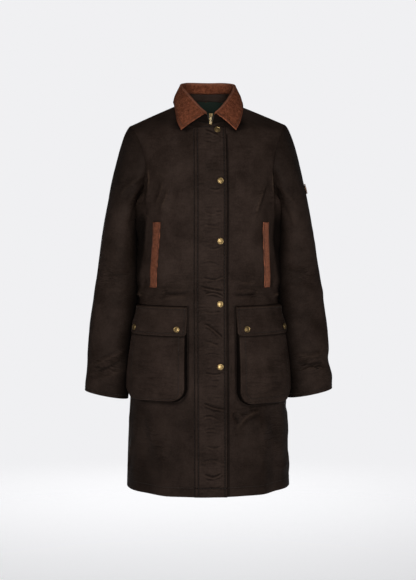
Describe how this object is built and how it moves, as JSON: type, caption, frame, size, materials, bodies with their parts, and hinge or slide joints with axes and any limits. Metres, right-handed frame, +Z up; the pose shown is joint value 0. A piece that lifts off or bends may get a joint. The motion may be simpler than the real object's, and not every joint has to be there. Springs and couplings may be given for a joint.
{
  "type": "wax jacket",
  "caption": "Long waxed-cotton jacket filled out as if worn, with a brown needlecord collar, storm flap over a zip, hand-pocket welts and flapped bellows pockets.",
  "frame": {"origin": "between the shoulders, level with the points where the shoulder seams meet the collar, over the side seams", "axes": "+Z up, the front faces -Y, +X is the wearer's left"},
  "size_m": [0.6122, 0.314, 0.9916],
  "materials": {
    "waxed_cotton": "waxed, slight sheen",
    "needlecord": "matte, fine ribs",
    "green_lining": "matte",
    "aged_brass": "aged",
    "zip_tape": "woven",
    "patch_leather": "matte"
  },
  "bodies": {
    "jacket": {"front_right": "waxed_cotton", "front_left": "waxed_cotton", "back": "waxed_cotton", "back_lining": "green_lining", "sleeve_right": "waxed_cotton", "sleeve_left": "waxed_cotton", "collar_stand": "waxed_cotton", "collar": "needlecord", "storm_flap": "waxed_cotton", "zip": "zip_tape", "zip_slider": "aged_brass", "welt_right": "needlecord", "welt_left": "needlecord", "pocket_right": "waxed_cotton", "pocket_left": "waxed_cotton", "pocket_flap_right": "waxed_cotton", "pocket_flap_left": "waxed_cotton", "snap_front_1": "aged_brass", "snap_front_2": "aged_brass", "snap_front_3": "aged_brass", "snap_front_4": "aged_brass", "snap_front_5": "aged_brass", "snap_pocket_right_inner": "aged_brass", "snap_pocket_right_outer": "aged_brass", "snap_pocket_left_inner": "aged_brass", "snap_pocket_left_outer": "aged_brass", "sleeve_patch": "patch_leather"},
    "zip_pull": {"zip_pull": "aged_brass"}
  },
  "joints": [
    {"name": "zip_pull_swing", "type": "hinge", "parent": "jacket", "child": "zip_pull", "pos_m": [0, -0.1054, -0.0315], "axis": [-1, 0, 0], "range_deg": [0, 150]}
  ]
}
